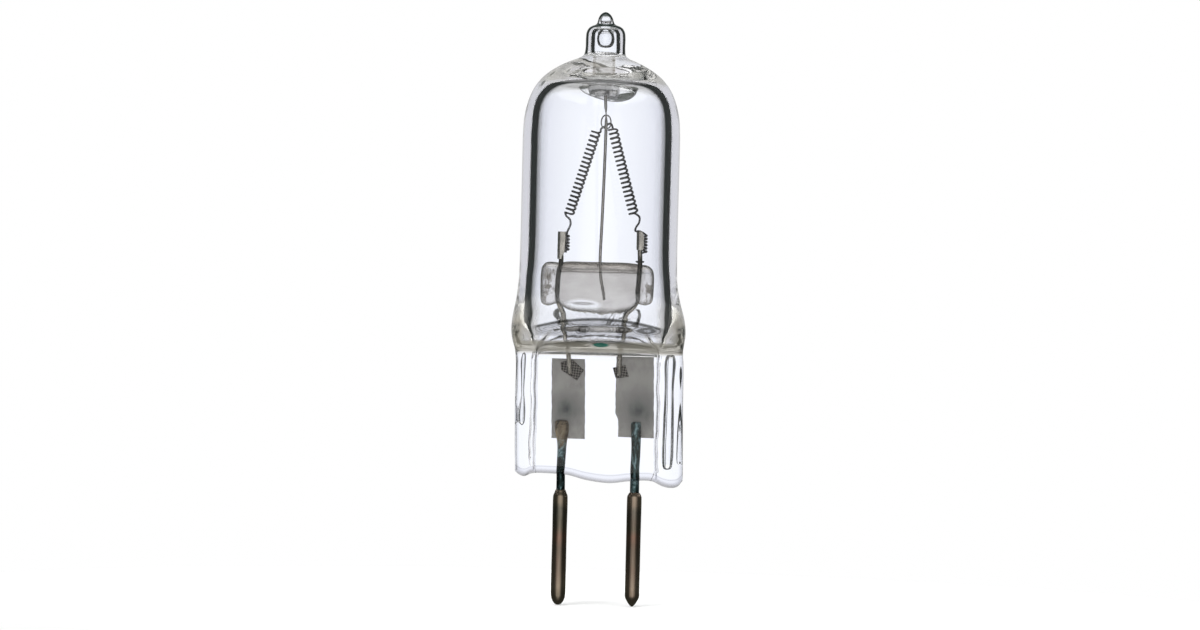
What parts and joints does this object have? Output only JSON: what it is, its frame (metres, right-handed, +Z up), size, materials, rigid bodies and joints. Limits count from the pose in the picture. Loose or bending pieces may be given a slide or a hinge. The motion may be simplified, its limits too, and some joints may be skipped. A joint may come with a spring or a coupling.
{
  "type": "halogen capsule bulb",
  "caption": "Two-pin halogen capsule bulb: a sealed quartz tube with a pressed flat foot, a coiled filament on a wire frame and two straight contact pins.",
  "frame": {"origin": "midway between the two contact pins, at the plane where the pins reach their thick part", "axes": "+Z up the bulb towards the sealed exhaust nub, X along the line of the pins, front facing -Y"},
  "size_m": [0.0152, 0.0136, 0.0509],
  "materials": {
    "quartz_glass": "polished",
    "bead_glass": "slightly hazy",
    "support_metal": "drawn wire",
    "filament_metal": "dull",
    "lead_metal": "drawn wire",
    "clamp_metal": "satin",
    "tab_metal": "textured",
    "foil_metal": "satin",
    "outer_lead_metal": "tarnished",
    "pin_metal": "worn"
  },
  "bodies": {
    "root": {"glass_envelope": "quartz_glass", "bridge_bead": "bead_glass", "support_wire": "support_metal", "filament": "filament_metal", "inner_lead_left": "lead_metal", "inner_lead_right": "lead_metal", "filament_clamp_left": "clamp_metal", "filament_clamp_right": "clamp_metal", "weld_tab_left": "tab_metal", "weld_tab_right": "tab_metal", "sealing_foil_left": "foil_metal", "sealing_foil_right": "foil_metal", "outer_lead_left": "outer_lead_metal", "outer_lead_right": "outer_lead_metal", "contact_pin_left": "pin_metal", "contact_pin_right": "pin_metal"}
  },
  "joints": []
}
